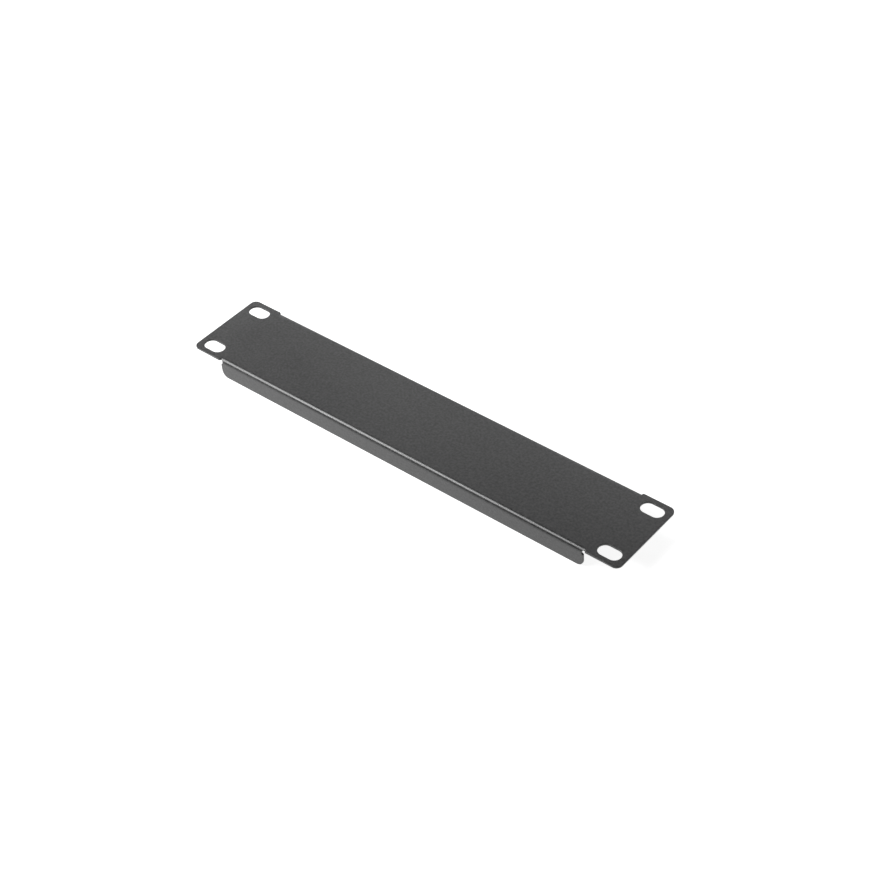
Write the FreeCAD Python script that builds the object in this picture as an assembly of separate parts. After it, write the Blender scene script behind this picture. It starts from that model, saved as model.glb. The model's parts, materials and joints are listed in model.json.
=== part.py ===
import FreeCAD, Part
import math
import os

# A blanking panel one unit high for a ten-inch rack: one piece of folded, powder-coated steel sheet.
# The blank is cut flat, with four slots for the rack's screws and a round relief punched where each
# fold will end. Then both long edges are folded back between the ears, which stiffens the panel.
# Frame: X runs along the panel, Y up the rack and Z out of the front face. The panel lies on the
# edges of its two flanges, and the origin is on that surface, below the middle of the panel.

# Driving dimensions, in millimetres
panel_length = 254.0          # over both ears: the width of a ten-inch rack
unit_height = 44.45           # of one rack unit
unit_gap = 0.45               # left between this panel and the next, so that both go in
depth = 10.2                  # from the front face to the edges of the flanges
sheet = 1.0                   # thickness of the steel
bend_inner_radius = 1.15
neutral_share = 0.42          # of the sheet, from the inside of a bend to the layer that keeps its length
ear_length = 18.5             # from an end of the panel to the flanges, to clear the rack's upright
flange_inset = 0.0            # from an ear's long edge in to the outer face of the flange beside it
ear_corner_radius = 3.2
flange_corner_radius = 3.6
slot_to_end = 8.7375          # from an end of the panel to the middle of its slots: 236.525 between the two
slot_to_unit_edge = 6.35      # from the edge of the rack unit to the middle of a slot: 31.75 between the two
slot_length = 11.6
slot_width = 7.0
relief_radius = 0.9           # its middle is where a flange's end meets the line of the ears' long edge

# Sizes and places that follow from them
panel_height = unit_height - unit_gap
flange_length = panel_length - 2 * ear_length
slot_along = panel_length / 2 - slot_to_end
slot_across = unit_height / 2 - slot_to_unit_edge
bend_outer_radius = bend_inner_radius + sheet
neutral_radius = bend_inner_radius + neutral_share * sheet
half_over_flanges = panel_height / 2 - flange_inset
bend_line = half_over_flanges - bend_outer_radius       # Y at which the face starts to turn down
bend_axis_height = depth - bend_outer_radius            # Z of the axis that a bend turns round
quarter_turn = math.pi / 2
bend_allowance = neutral_radius * quarter_turn          # length of flat blank that one bend takes up
neutral_height = depth - sheet + neutral_share * sheet  # Z of that layer, where the sheet is flat
relief_along = flange_length / 2
relief_across = panel_height / 2
relief_past_line = relief_across - bend_line            # from the bend line, in the flat blank
relief_past_bend = relief_past_line - bend_allowance    # from the end of the bend, in the flat blank

# How the cutting tools are made
overcut = 1.0                 # that a tool runs past each face of the sheet
punch_foot_share = 0.5        # of the inner radius: how near to its axis the bend's punch starts
punch_points = 25             # along the curved side of the bend's punch
drawn_sections = 9            # across each corner where the sheet is drawn from bent to flat
diagonal = math.sqrt(0.5)


def point(x, y, z):
    return FreeCAD.Vector(x, y, z)


def line(start, end):
    return Part.LineSegment(start, end).toShape()


def arc(start, middle, end):
    return Part.Arc(start, middle, end).toShape()


def edges_along(shape, direction):
    """The straight edges of a shape that run along a direction."""
    found = []
    for edge in shape.Edges:
        straight = isinstance(edge.Curve, Part.Line)
        if straight and abs(edge.tangentAt(edge.FirstParameter).dot(direction)) > 0.999:
            found.append(edge)
    return found


def slot_cutter(centre_x, centre_y):
    """A slot with full round ends, through the sheet, its long way along the panel."""
    radius = slot_width / 2
    reach = (slot_length - slot_width) / 2
    foot = depth - sheet - overcut
    upper_left = point(centre_x - reach, centre_y + radius, foot)
    upper_right = point(centre_x + reach, centre_y + radius, foot)
    lower_left = point(centre_x - reach, centre_y - radius, foot)
    lower_right = point(centre_x + reach, centre_y - radius, foot)
    right_end = point(centre_x + reach + radius, centre_y, foot)
    left_end = point(centre_x - reach - radius, centre_y, foot)
    outline = Part.Wire([
        line(upper_left, upper_right),
        arc(upper_right, right_end, lower_right),
        line(lower_right, lower_left),
        arc(lower_left, left_end, upper_left),
    ])
    return Part.Face(outline).extrude(point(0, 0, sheet + 2 * overcut))


def corner_gap(side_x, side_y):
    """Room in an ear for the drawn corner beside a relief."""
    length = relief_radius
    width = relief_across + overcut - bend_line
    low_x = min(side_x * relief_along, side_x * (relief_along + length))
    low_y = min(side_y * bend_line, side_y * (bend_line + width))
    return Part.makeBox(length, width, sheet + 2 * overcut, point(low_x, low_y, depth - sheet - overcut))


def ears():
    """Both ears: a plate with round corners and slots, less what is folded or drawn."""
    back = depth - sheet
    plate = Part.makeBox(
        panel_length, panel_height, sheet, point(-panel_length / 2, -panel_height / 2, back))
    plate = plate.makeFillet(ear_corner_radius, edges_along(plate, point(0, 0, 1)))
    folded_stretch = Part.makeBox(
        flange_length, panel_height, sheet, point(-flange_length / 2, -panel_height / 2, back))
    plate = plate.cut(folded_stretch)
    for side_x in (1, -1):
        for side_y in (1, -1):
            slot = slot_cutter(side_x * slot_along, side_y * slot_across)
            plate = plate.cut([slot, corner_gap(side_x, side_y)])
    return plate


def drawn_point(along, past_line, above_neutral, share):
    """A point of the sheet beside a relief, where it takes up only a share of the bend."""
    if share == 0:
        return point(along, bend_line + past_line, neutral_height + above_neutral)
    radius = neutral_radius / share
    swing = past_line / radius
    across = bend_line + (radius + above_neutral) * math.sin(swing)
    height = neutral_height - radius + (radius + above_neutral) * math.cos(swing)
    return point(along, across, height)


def drawn_section(turn):
    """A section across the drawn corner, from the bend line to the relief's edge."""
    along = relief_along + relief_radius * math.sin(turn)
    past_line = relief_past_line - relief_radius * math.cos(turn)
    faded = math.sin(turn)
    share = 1 - faded * faded * (3 - 2 * faded)

    def skin(above_neutral):
        start = drawn_point(along, 0, above_neutral, share)
        middle = drawn_point(along, past_line / 2, above_neutral, share)
        end = drawn_point(along, past_line, above_neutral, share)
        if share == 0:
            return line(start, end), start, end
        return arc(start, middle, end), start, end

    front, front_start, front_end = skin((1 - neutral_share) * sheet)
    back, back_start, back_end = skin(-neutral_share * sheet)
    return Part.Wire([front, line(front_end, back_end), back, line(back_start, front_start)])


def drawn_corner():
    """The sheet beside a relief: bent like the flange at one end, and flat like the ear at the other."""
    sections = []
    for step in range(drawn_sections):
        sections.append(drawn_section(quarter_turn * step / (drawn_sections - 1)))
    return Part.makeLoft(sections, True, True)


def four_corners(solid):
    """A solid and its mirror images at the other three corners."""
    origin = point(0, 0, 0)
    pair = [solid, solid.mirror(origin, point(1, 0, 0))]
    return pair + [each.mirror(origin, point(0, 1, 0)) for each in pair]


def half_section(side):
    """One half of the folded section's outline, from the front face round the flange to the back face."""
    outer = half_over_flanges
    inner = outer - sheet

    def at(y, z):
        return point(-flange_length / 2, side * y, z)

    def bend_arc(radius):
        top = at(bend_line, bend_axis_height + radius)
        middle = at(bend_line + radius * diagonal, bend_axis_height + radius * diagonal)
        foot = at(bend_line + radius, bend_axis_height)
        return arc(top, middle, foot)

    return [
        bend_arc(bend_outer_radius),
        line(at(outer, bend_axis_height), at(outer, 0)),
        line(at(outer, 0), at(inner, 0)),
        line(at(inner, 0), at(inner, bend_axis_height)),
        bend_arc(bend_inner_radius),
    ]


def folded_section():
    """The section across the folded stretch: the face, two bends and two flanges."""
    start_x = -flange_length / 2
    front = line(point(start_x, -bend_line, depth), point(start_x, bend_line, depth))
    back = line(point(start_x, -bend_line, depth - sheet), point(start_x, bend_line, depth - sheet))
    edges = half_section(1) + half_section(-1) + [front, back]
    return Part.Face(Part.Wire(Part.sortEdges(edges)[0]))


def bend_punch_outline(distance):
    """The relief's outline within the bend, on a plane that far from the bend's axis along its diagonal.

    A hole punched square through the flat blank stays square to the sheet when the sheet is bent, so
    its sides all point at the bend's axis. This is the part of the circle that lies on the bend.
    """
    end_turn = math.acos(max(-1.0, relief_past_bend / relief_radius))
    nodes = []
    for step in range(punch_points):
        turn = end_turn * (2 * step / (punch_points - 1) - 1)
        along = relief_along + relief_radius * math.sin(turn)
        past_line = relief_past_line - relief_radius * math.cos(turn)
        swing = past_line / neutral_radius - quarter_turn / 2
        sideways = distance * math.tan(swing)
        across = bend_line + (distance + sideways) * diagonal
        height = bend_axis_height + (distance - sideways) * diagonal
        nodes.append(point(along, across, height))
    curve = Part.BSplineCurve()
    curve.interpolate(nodes)
    return Part.Wire([curve.toShape(), line(nodes[-1], nodes[0])])


def bend_punch():
    """The relief where it meets the bend: a punch whose sides are lines from the bend's axis."""
    near = bend_punch_outline(bend_inner_radius * punch_foot_share)
    far = bend_punch_outline(bend_outer_radius + overcut)
    return Part.makeLoft([near, far], True, True)


def flange_punch():
    """The relief where it meets the flat of the flange, below the bend."""
    inside = half_over_flanges - sheet - overcut
    run = sheet + 2 * overcut
    middle = point(relief_along, inside, bend_axis_height - relief_past_bend)
    round_hole = Part.makeCylinder(relief_radius, run, middle, point(0, 1, 0))
    below_bend = Part.makeBox(
        2 * relief_radius, run, bend_axis_height, point(relief_along - relief_radius, inside, 0))
    return round_hole.common(below_bend)


def folded_stretch():
    """The stretch between the ears, with round corners on its flanges and a relief at each end of a bend."""
    solid = folded_section().extrude(point(flange_length, 0, 0))
    lower_corners = []
    for edge in edges_along(solid, point(0, 1, 0)):
        if edge.Length < 2 * sheet and edge.BoundBox.ZMax < sheet:
            lower_corners.append(edge)
    solid = solid.makeFillet(flange_corner_radius, lower_corners)
    for punch in (bend_punch(), flange_punch()):
        solid = solid.cut(four_corners(punch))
    return solid


def panel():
    return folded_stretch().fuse([ears()] + four_corners(drawn_corner())).removeSplitter()


os.makedirs("parts", exist_ok=True)
blanking_panel = panel()
blanking_panel.exportStep("parts/panel.step")
print("panel: solids", len(blanking_panel.Solids), "valid", blanking_panel.isValid(),
      "volume", round(blanking_panel.Volume, 1), "mm3")
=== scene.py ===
# %% [markdown]
# # A rack blanking panel
# A blanking panel closes an empty place in the front of an equipment rack. This one is a single
# piece of steel sheet: cut flat, punched, folded along both long edges and powder coated.
# It could be modelled straight in its folded shape, but the corners beside the folds have a form
# that is hard to draw. So the script follows the workshop, where that form comes by itself. It
# draws the flat blank, rounds its edges as the coat does, folds it and coats it. Then it sets the
# panel on a white table under soft lights.
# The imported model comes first, because it fixes where everything is and how large it is.

# %% Load the frame
import json
import math

import bmesh
import bpy
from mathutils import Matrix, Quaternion, Vector


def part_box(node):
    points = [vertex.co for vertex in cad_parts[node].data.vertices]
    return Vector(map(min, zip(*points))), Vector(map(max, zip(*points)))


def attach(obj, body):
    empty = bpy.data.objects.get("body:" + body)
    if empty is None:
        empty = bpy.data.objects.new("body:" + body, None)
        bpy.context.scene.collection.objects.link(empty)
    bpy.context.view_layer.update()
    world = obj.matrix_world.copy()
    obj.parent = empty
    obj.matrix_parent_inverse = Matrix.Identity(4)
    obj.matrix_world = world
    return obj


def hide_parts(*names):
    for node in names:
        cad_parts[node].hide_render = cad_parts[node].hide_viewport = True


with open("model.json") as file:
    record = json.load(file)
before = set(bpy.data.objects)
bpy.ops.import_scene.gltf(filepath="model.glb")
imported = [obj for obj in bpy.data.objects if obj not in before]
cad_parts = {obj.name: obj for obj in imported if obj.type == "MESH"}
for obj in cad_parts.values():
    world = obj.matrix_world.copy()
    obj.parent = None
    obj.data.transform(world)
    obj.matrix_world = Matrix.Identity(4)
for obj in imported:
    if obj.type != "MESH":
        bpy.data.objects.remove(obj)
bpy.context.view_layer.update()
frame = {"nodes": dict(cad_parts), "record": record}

print("Nodes in the frame:", sorted(frame["nodes"]))

# %% [markdown]
# ## The panel's sizes
# All sizes could be typed here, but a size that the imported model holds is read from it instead, so
# that the visible panel can't drift away from the built one. The overall size comes from the node's
# box, and the slots and the sheet come from the mounts. The model doesn't name the sizes of the
# folds, corners and reliefs, so those are given here. All are in millimetres, as on a workshop
# drawing, and the finished mesh is turned into metres.

# %% Sizes, in millimetres
MM = 0.001
low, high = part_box("panel")
mounts = {mount["name"]: mount for mount in frame["record"]["mounts"]}
slots = mounts["rack_slots"]["dims"]

length = (high.x - low.x) / MM
height = (high.y - low.y) / MM
depth = (high.z - low.z) / MM
sheet = high.z / MM - mounts["left_ear_back"]["pos_m"][2] / MM
slot_along = slots["spacing_x_mm"] / 2
slot_across = slots["spacing_y_mm"] / 2
slot_radius = slots["hole_r_mm"]
slot_reach = slots["slot_length_mm"] / 2 - slot_radius

ear_length = 18.5       # from an end of the panel to the flanges
ear_corner = 3.2        # radius of an ear's corners
flange_corner = 3.6     # radius of a flange's corners
bend_inner = 1.15       # radius on the inside of a bend
neutral_share = 0.42    # of the sheet, from a bend's inside to the layer that keeps its length
relief_radius = 0.9
relief_corner = 0.34    # radius of the small arc at each end of a relief
edge_round = 0.16       # radius that the coat gives to a punched edge

flange_end = length / 2 - ear_length
bend_outer = bend_inner + sheet
neutral_radius = bend_inner + neutral_share * sheet
bend_line = height / 2 - bend_outer
bend_length = neutral_radius * math.pi / 2
blank_edge = bend_line + bend_length + depth - bend_outer
print(f"Panel {length:.1f} x {height:.1f} x {depth:.1f} mm, sheet {sheet:.2f} mm,",
      f"blank {2 * blank_edge:.1f} mm wide")

# %% [markdown]
# ## Draw the outline
# The blank is cut from sheet along an outline of straight runs and arcs. It could be typed as a
# list of points, but arcs make such a list long and hard to check. A pen is easier to follow. It
# holds one vertex: `extrude_vert_indiv` leaves an edge behind for a straight run, and `spin` leaves
# a row of short edges for a round stretch.

# %% A pen for outlines
class Pen:
    def __init__(self, mesh, x, y):
        self.mesh = mesh
        self.start = mesh.verts.new((x, y, 0))
        self.tip = self.start

    def run_to(self, x, y):
        made = bmesh.ops.extrude_vert_indiv(self.mesh, verts=[self.tip])
        self.tip = made["verts"][0]
        self.tip.co = (x, y, 0)

    def turn(self, centre_x, centre_y, degrees, steps):
        made = bmesh.ops.spin(
            self.mesh, geom=[self.tip], cent=(centre_x, centre_y, 0), axis=(0, 0, 1),
            angle=math.radians(degrees), steps=steps)
        self.tip = [item for item in made["geom_last"] if isinstance(item, bmesh.types.BMVert)][0]

    def close(self):
        self.mesh.edges.new((self.tip, self.start))

# %% [markdown]
# A relief is a small round hole, punched where a fold will end, so that the sheet doesn't tear
# there. Its middle is the corner between the ear's long edge and the flange's end, so three
# quarters of its circle lie in the sheet. A whole circle could be drawn and cut away, but one arc
# of the outline does the same. The two sharp corners beside it get a small arc each, because the
# coat rounds them too, and because the narrow rings that later go along the edge would fold over
# at a sharp corner.

# %% The relief
RELIEF_STEPS = 32
RELIEF_CORNER_STEPS = 7


def draw_relief(pen):
    """A small arc, three quarters of a circle and a small arc again, from the ear to the flange.

    A small arc touches a straight edge and the circle. So its middle lies its own radius from the
    edge, and as far from the circle's middle as both radii together.
    """
    reach = relief_radius + relief_corner
    side = math.sqrt(reach ** 2 - relief_corner ** 2)
    lean = math.degrees(math.asin(relief_corner / reach))
    pen.run_to(flange_end + side, height / 2)
    pen.turn(
        flange_end + side, height / 2 - relief_corner,
        degrees=90 - lean, steps=RELIEF_CORNER_STEPS)
    pen.turn(flange_end, height / 2, degrees=2 * lean - 270, steps=RELIEF_STEPS)
    pen.turn(
        flange_end - relief_corner, height / 2 + side,
        degrees=90 - lean, steps=RELIEF_CORNER_STEPS)

# %% [markdown]
# The whole outline could be drawn, but one quarter is enough, because the panel is the same on all
# four sides. The pen starts at the middle of an ear's end, rounds the ear's corner, goes round the
# relief, and follows the flange's end to the long edge and back through the panel's middle. The
# slot, which takes the rack's screw, is a loop of its own.

# %% The outline of one quarter
CORNER_STEPS = 14
SLOT_END_STEPS = 24


def draw_quarter(mesh):
    pen = Pen(mesh, length / 2, 0)
    pen.run_to(length / 2, height / 2 - ear_corner)
    pen.turn(
        length / 2 - ear_corner, height / 2 - ear_corner,
        degrees=90, steps=CORNER_STEPS)
    draw_relief(pen)
    pen.run_to(flange_end, blank_edge - flange_corner)
    pen.turn(
        flange_end - flange_corner, blank_edge - flange_corner,
        degrees=90, steps=CORNER_STEPS)
    pen.run_to(0, blank_edge)
    pen.run_to(0, 0)
    pen.close()


def draw_slot(mesh):
    pen = Pen(mesh, slot_along + slot_reach, slot_across - slot_radius)
    pen.turn(slot_along + slot_reach, slot_across, degrees=180, steps=SLOT_END_STEPS)
    pen.run_to(slot_along - slot_reach, slot_across + slot_radius)
    pen.turn(slot_along - slot_reach, slot_across, degrees=180, steps=SLOT_END_STEPS)
    pen.close()


blank = bmesh.new()
draw_quarter(blank)
draw_slot(blank)
print(f"One quarter: {len(blank.verts)} points, {len(blank.edges)} edges")

# %% [markdown]
# The loops now become sheet. A single large face can't have a hole in it, so `triangle_fill` makes
# many faces between the two loops and leaves the slot open. Then `mirror` turns the quarter into
# the half, and the half into the whole blank.

# %% The flat blank
JOIN_DISTANCE = 0.001


def mirrored(mesh, axis):
    everything = mesh.verts[:] + mesh.edges[:] + mesh.faces[:]
    bmesh.ops.mirror(mesh, geom=everything, axis=axis, merge_dist=JOIN_DISTANCE)


bmesh.ops.triangle_fill(blank, edges=blank.edges[:], use_beauty=True, normal=(0, 0, 1))
mirrored(blank, "X")
mirrored(blank, "Y")
bmesh.ops.recalc_face_normals(blank, faces=blank.faces[:])
blank_area = sum(face.calc_area() for face in blank.faces)
print(f"Flat blank: {len(blank.faces)} faces, {blank_area / 100:.1f} square centimetres")

# %% [markdown]
# ## Round the edges
# Punched edges are sharp, but powder coat draws back from them and leaves them slightly round.
# A Bevel modifier could do that after the fold. Here the rounding is made while the blank is still
# flat, where it is simple: `inset_region` lays narrow rings of faces along every edge and hole, and
# the outer rim of each ring sinks to its place on a quarter circle. One more ring stays level, and
# keeps the shading of the large flat faces clean.

# %% Rounded edges
ROUND_STEPS = 4
LEVEL_RING = 0.12


def add_ring(mesh, inside, width, sink):
    """Lays a ring of faces just within a region's rim, and sinks the outer side of the ring."""
    made = bmesh.ops.inset_region(
        mesh, faces=inside, thickness=width, use_boundary=True, use_even_offset=True)
    inner = {vert for face in inside for vert in face.verts}
    outer = {vert for face in made["faces"] for vert in face.verts} - inner
    bmesh.ops.translate(mesh, verts=list(outer), vec=(0, 0, -sink))


def round_edges(mesh):
    inside = mesh.faces[:]
    for step in range(ROUND_STEPS):
        swing = math.pi / 2 * step / ROUND_STEPS
        swing_after = math.pi / 2 * (step + 1) / ROUND_STEPS
        width = edge_round * (math.cos(swing) - math.cos(swing_after))
        add_ring(mesh, inside, width, edge_round * (1 - math.sin(swing)))
    add_ring(mesh, inside, LEVEL_RING, 0)


round_edges(blank)
print(f"Front of the sheet: {len(blank.faces)} faces")

# %% [markdown]
# ## Give the sheet its body
# The sheet is equally thick everywhere, and its back edges are rounded as its front ones are.
# `solidify` could give it a thickness, but it would copy the front's rounding instead of mirroring
# it. So only the front half of the thickness is made, by `extrude_edge_only` from the rim, and a
# mirror adds the back half.

# %% Thickness
def thicken(mesh):
    bmesh.ops.translate(mesh, verts=mesh.verts[:], vec=(0, 0, sheet / 2))
    rim = [edge for edge in mesh.edges if edge.is_boundary]
    made = bmesh.ops.extrude_edge_only(mesh, edges=rim)
    for vert in (item for item in made["geom"] if isinstance(item, bmesh.types.BMVert)):
        vert.co.z = 0
    mirrored(mesh, "Z")


thicken(blank)
bmesh.ops.recalc_face_normals(blank, faces=blank.faces[:])
print(f"Sheet: {len(blank.faces)} faces, {blank.calc_volume() / 1000:.2f} cubic centimetres")

# %% [markdown]
# ## Fold both long edges
# A press brake folds the blank along two lines. The bends could be modelled by themselves and
# joined to flat plates, but bending the whole mesh carries the round reliefs and the rounded edges
# round the bend, as the press does. Only a strip that is narrow enough can follow a curve, so
# `bisect_plane` first cuts the mesh into strips across each bend, and into a few more across the
# corner beside the relief.

# %% Strips for the bend
BEND_STEPS = 14
DRAWN_STEPS = 8
LEVEL_STRIP = 0.15
SAME_PLACE = 0.002
drawn_end = flange_end + relief_radius


def cut_across(mesh, axis, places, from_y):
    """Cuts on both sides of the middle, only through faces that lie at least from_y off it."""
    for place in places:
        for side in (1, -1):
            faces = [face for face in mesh.faces if abs(face.calc_center_median().y) >= from_y]
            edges = {edge for face in faces for edge in face.edges}
            verts = {vert for face in faces for vert in face.verts}
            bmesh.ops.bisect_plane(
                mesh, geom=[*faces, *edges, *verts], dist=SAME_PLACE,
                plane_co=axis * place * side, plane_no=axis)
    bmesh.ops.remove_doubles(mesh, verts=mesh.verts[:], dist=SAME_PLACE)


bend_places = [bend_line + bend_length * step / BEND_STEPS for step in range(BEND_STEPS + 1)]
bend_places = [bend_line - LEVEL_STRIP, *bend_places, bend_places[-1] + LEVEL_STRIP]
drawn_places = [flange_end + relief_radius * step / DRAWN_STEPS for step in range(DRAWN_STEPS + 1)]
cut_across(blank, Vector((0, 1, 0)), bend_places, from_y=0)
cut_across(blank, Vector((1, 0, 0)), drawn_places, from_y=bend_line - LEVEL_STRIP)
print("Strips:", len(bend_places), "cuts for each bend,", len(blank.faces), "faces")

# %% [markdown]
# A bend takes up a strip of the blank. The layer a little inside the middle of the sheet keeps its
# length, while the outside stretches and the inside shrinks. A Simple Deform modifier could bend
# the strip, but it knows nothing of that layer. A formula can: it measures from that layer, and
# gives each point of the flat mesh its one place on the folded panel.
# The bend starts a little before it reaches the relief. In that short stretch nothing parts the
# flange from the flat ear, so the sheet is drawn down smoothly between them, within one radius of
# the relief.

# %% The fold
neutral_height = (neutral_share - 0.5) * sheet
neutral_level = depth - sheet / 2 + neutral_height


def fold_share(x):
    """How much of the bend the sheet takes: all of it up to the flange's end, none on the ear."""
    past = (abs(x) - flange_end) / (drawn_end - flange_end)
    past = min(max(past, 0), 1)
    return 1 - past * past * (3 - 2 * past)


def folded(point):
    """Where a point of the flat sheet goes, whose middle is at Z = 0."""
    share = fold_share(point.x)
    run = abs(point.y) - bend_line
    above_neutral = point.z - neutral_height
    if run <= 0 or share == 0:
        return Vector((point.x, point.y, neutral_level + above_neutral))
    radius = neutral_radius / share
    bent_run = min(run, bend_length)
    straight_run = run - bent_run
    swing = bent_run / radius
    out = (radius + above_neutral) * math.sin(swing) + straight_run * math.cos(swing)
    down = radius * (1 - math.cos(swing)) + straight_run * math.sin(swing)
    across = math.copysign(bend_line + out, point.y)
    return Vector((point.x, across, neutral_level - down + above_neutral * math.cos(swing)))


for vert in blank.verts:
    vert.co = folded(vert.co)
bmesh.ops.recalc_face_normals(blank, faces=blank.faces[:])
print(f"Folded: {blank.calc_volume() / 1000:.2f} cubic centimetres")

# %% [markdown]
# ## Turn the mesh into a piece
# The mesh goes from millimetres to metres and becomes an object. Its faces could be shaded flat
# where they should look sharp, but every edge has its own rounding now and nothing is sharp, so all
# of them are shaded smooth. The piece stands for the imported node, which is hidden, and rides on
# the only body. The coat's material is added to it further down.

# %% The coated panel
def make_piece(name, mesh):
    bmesh.ops.scale(mesh, vec=(MM, MM, MM), verts=mesh.verts[:])
    for face in mesh.faces:
        face.smooth = True
    data = bpy.data.meshes.new(name)
    mesh.to_mesh(data)
    mesh.free()
    piece = bpy.data.objects.new(name, data)
    bpy.context.scene.collection.objects.link(piece)
    return piece


panel = make_piece("coated_panel", blank)
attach(panel, "root")
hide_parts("panel")
print("Piece:", panel.name, "with", len(panel.data.polygons), "faces")

# %% [markdown]
# ## Powder coat
# Powder coat is plastic powder, sprayed on dry and melted in an oven. It sets to a tough satin skin
# with three kinds of unevenness. Orange peel is a soft waviness about a millimetre across. Grain is
# left by lumps of powder about as large, which differ a little in tone and height. And the skin is
# never equally glossy, which shows as very faint clouds.
# A picture of real coat could be wrapped round the mesh, but it would show seams at the bends. Here
# each kind gets a noise texture of its own that reads Object coordinates. Such a texture fills
# space, so the pattern goes round the bends and through the slots without a seam.

# %% A solid noise
def add_node(tree, kind, **settings):
    node = tree.nodes.new(kind)
    for name, value in settings.items():
        setattr(node, name, value)
    return node


def solid_noise(tree, place, lumps_per_metre, detail, roughness):
    noise = add_node(tree, "ShaderNodeTexNoise")
    noise.inputs["Scale"].default_value = lumps_per_metre
    noise.inputs["Detail"].default_value = detail
    noise.inputs["Roughness"].default_value = roughness
    tree.links.new(place, noise.inputs["Vector"])
    return noise.outputs["Fac"]

# %% [markdown]
# A noise can change the coat in two ways. `spread` turns it into a value between two limits, for
# the tone or the gloss. `raised` gives it to a Bump node, which tilts what the surface mirrors, as
# low lumps do. The lumps could be real ones in the mesh, but they are only hundredths of a
# millimetre high, and would take millions of faces.

# %% Value and height from a noise
NOISE_LOW = 0.3
NOISE_HIGH = 0.7


def spread(tree, pattern, low_value, high_value):
    """Stretches a noise, which keeps near its middle, over the whole way between two limits."""
    ramp = add_node(tree, "ShaderNodeMapRange")
    ramp.inputs["From Min"].default_value = NOISE_LOW
    ramp.inputs["From Max"].default_value = NOISE_HIGH
    ramp.inputs["To Min"].default_value = low_value
    ramp.inputs["To Max"].default_value = high_value
    tree.links.new(pattern, ramp.inputs["Value"])
    return ramp.outputs["Result"]


def raised(tree, pattern, lump_height, strength, normal=None):
    """Lumps of a height in metres, on top of the lumps of another pattern if one is given."""
    bump = add_node(tree, "ShaderNodeBump")
    bump.inputs["Strength"].default_value = strength
    bump.inputs["Distance"].default_value = lump_height
    tree.links.new(pattern, bump.inputs["Height"])
    if normal:
        tree.links.new(normal, bump.inputs["Normal"])
    return bump.outputs["Normal"]

# %% [markdown]
# The coat looks black, but its grain goes from nearly black to a very dark grey. A Diffuse and a
# Glossy shader could be mixed by hand, but one Principled shader keeps the two in balance by
# itself. Its roughness gives the satin gloss. Its refraction is a little above that of clear
# plastic, so the skin mirrors a little more.

# %% The coat's material
DARK_GRAIN = (0.0135, 0.0135, 0.0138, 1)
PALE_GRAIN = (0.0435, 0.0435, 0.0443, 1)
GLOSSIEST = 0.29
DULLEST = 0.33
REFRACTION = 1.65
PEEL_HEIGHT = 0.03 * MM
GRAIN_HEIGHT = 0.01 * MM
BUMP_STRENGTH = 0.6

coat = bpy.data.materials.new("black_powder_coat")
coat.use_nodes = True
tree = coat.node_tree
skin = tree.nodes["Principled BSDF"]
place = add_node(tree, "ShaderNodeTexCoord").outputs["Object"]

clouds = solid_noise(tree, place, lumps_per_metre=60, detail=3, roughness=0.6)
peel = solid_noise(tree, place, lumps_per_metre=850, detail=1, roughness=0.4)
grain = solid_noise(tree, place, lumps_per_metre=900, detail=2, roughness=0.5)

tone = add_node(tree, "ShaderNodeMix", data_type="RGBA")
tone.inputs["A"].default_value = DARK_GRAIN
tone.inputs["B"].default_value = PALE_GRAIN
tree.links.new(spread(tree, grain, 0, 1), tone.inputs["Factor"])
tree.links.new(tone.outputs["Result"], skin.inputs["Base Color"])
tree.links.new(spread(tree, clouds, GLOSSIEST, DULLEST), skin.inputs["Roughness"])
skin.inputs["IOR"].default_value = REFRACTION
wavy = raised(tree, peel, PEEL_HEIGHT, BUMP_STRENGTH)
tree.links.new(raised(tree, grain, GRAIN_HEIGHT, BUMP_STRENGTH, wavy), skin.inputs["Normal"])

panel.data.materials.append(coat)
print("Material:", coat.name, "with", len(tree.nodes), "nodes")

# %% [markdown]
# ## Floor
# The panel lies on a wide white table. The lamps could be turned up until the table is white, but
# they would burn out the panel too. So most of the table's brightness is a glow instead. Light Path
# tells which rays come from the camera, or from a surface that mirrors or lets light through. Only
# those see the glow, so the coat mirrors it but isn't lit by it. The light that falls on the table
# adds the rest, so the panel's shadow stays on it, but is faint.

# %% White floor
FLOOR_RADIUS = 12 / MM    # twelve metres, in millimetres
FLOOR_SIDES = 96
FLOOR_COLOUR = (0.5, 0.5, 0.5, 1)
FLOOR_GLOW = 0.9

floor_mesh = bmesh.new()
bmesh.ops.create_circle(floor_mesh, cap_ends=True, segments=FLOOR_SIDES, radius=FLOOR_RADIUS)
floor = make_piece("white_floor", floor_mesh)

table = bpy.data.materials.new("white_table")
table.use_nodes = True
tree = table.node_tree
paint = tree.nodes["Principled BSDF"]
paint.inputs["Base Color"].default_value = FLOOR_COLOUR
paint.inputs["Roughness"].default_value = 1
paint.inputs["Specular IOR Level"].default_value = 0
paint.inputs["Emission Color"].default_value = (1, 1, 1, 1)
rays = add_node(tree, "ShaderNodeLightPath")
seen = rays.outputs["Is Camera Ray"]
for kind in ("Is Glossy Ray", "Is Transmission Ray"):
    total = add_node(tree, "ShaderNodeMath", operation="ADD", use_clamp=True)
    tree.links.new(seen, total.inputs[0])
    tree.links.new(rays.outputs[kind], total.inputs[1])
    seen = total.outputs[0]
glow = add_node(tree, "ShaderNodeMath", operation="MULTIPLY")
glow.inputs[1].default_value = FLOOR_GLOW
tree.links.new(seen, glow.inputs[0])
tree.links.new(glow.outputs[0], paint.inputs["Emission Strength"])
floor.data.materials.append(table)
print("Floor:", floor.name, "with a glow of", FLOOR_GLOW)

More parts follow.
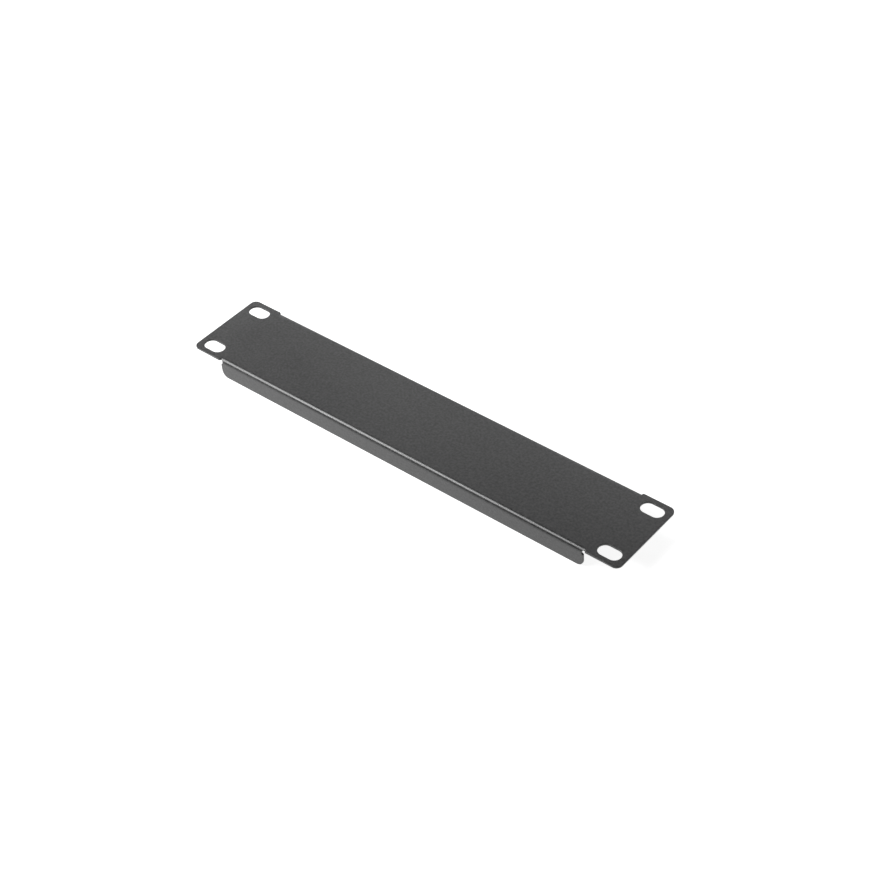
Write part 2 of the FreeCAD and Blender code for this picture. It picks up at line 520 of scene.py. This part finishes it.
# %% [markdown]
# ## Light
# The coat is dark, so most of what shows its form is mirrored light. One bright sky all round could
# light it, but the bends would lose their bright line. So six square softboxes stand around the
# panel. They are alike but for their power, stand at one distance and point at its middle. Three
# strong ones, at the left and in front, make the bright line along the near bend and light the
# flange. Three weak ones behind lay a sheen on the face that fades toward the right. Together they
# show a plain card that faces up in about its own colour. The world only fills the shadows.

# %% Softboxes and fill
BOX_WIDTH = 0.3
BOX_DISTANCE = 0.7
FILL_STRENGTH = 0.067


def soft_box(name, azimuth, elevation, watts):
    """A square softbox in a direction from the panel, in degrees, with the azimuth from +X."""
    light = bpy.data.lights.new(name, "AREA")
    light.shape = "SQUARE"
    light.size = BOX_WIDTH
    light.energy = watts
    turn = math.radians(azimuth)
    rise = math.radians(elevation)
    outward = Vector((
        math.cos(turn) * math.cos(rise),
        math.sin(turn) * math.cos(rise),
        math.sin(rise)))
    box = bpy.data.objects.new(name, light)
    box.location = outward * BOX_DISTANCE
    box.rotation_mode = "QUATERNION"
    box.rotation_quaternion = (-outward).to_track_quat("-Z", "Y")
    bpy.context.scene.collection.objects.link(box)
    return box


boxes = [
    soft_box("left_low", azimuth=215, elevation=36, watts=2.16),
    soft_box("left_high", azimuth=205, elevation=54, watts=1.35),
    soft_box("front_high", azimuth=235, elevation=54, watts=1.75),
    soft_box("rim_left", azimuth=150, elevation=15, watts=0.98),
    soft_box("rim_middle", azimuth=125, elevation=35, watts=0.30),
    soft_box("rim_right", azimuth=100, elevation=35, watts=0.38),
]
world = bpy.data.worlds.new("studio")
world.use_nodes = True
fill = world.node_tree.nodes["Background"]
fill.inputs["Color"].default_value = (1, 1, 1, 1)
fill.inputs["Strength"].default_value = FILL_STRENGTH
bpy.context.scene.world = world
bpy.context.scene.view_settings.view_transform = "Standard"
print("Light:", ", ".join(box.name for box in boxes), "and", world.name)

# %% [markdown]
# ## Camera
# The camera stands in front, to the right and above, at arm's length. It could be placed by three
# coordinates and three angles, but those say little to a reader. It is given the way a photographer
# would say it: where it points, from which side, how high, how far away, and how much it is tilted
# sideways.

# %% Camera
SENSOR_WIDTH = 36
LENS = 78.593
aim = Vector((0.0105, -0.0026, high.z))
camera_side = math.radians(42.583)
camera_height = math.radians(42.318)
camera_distance = 0.87124
camera_tilt = math.radians(-4.546)

towards_camera = Vector((
    math.sin(camera_side) * math.cos(camera_height),
    -math.cos(camera_side) * math.cos(camera_height),
    math.sin(camera_height)))
camera_data = bpy.data.cameras.new("camera")
camera_data.sensor_width = SENSOR_WIDTH
camera_data.lens = LENS
camera = bpy.data.objects.new("camera", camera_data)
camera.location = aim + towards_camera * camera_distance
camera.rotation_mode = "QUATERNION"
level_view = (-towards_camera).to_track_quat("-Z", "Y")
camera.rotation_quaternion = level_view @ Quaternion((0, 0, 1), camera_tilt)
bpy.context.scene.collection.objects.link(camera)
bpy.context.scene.camera = camera
print(f"Camera: {camera_distance:.2f} m away, {camera_data.lens:.0f} mm lens")
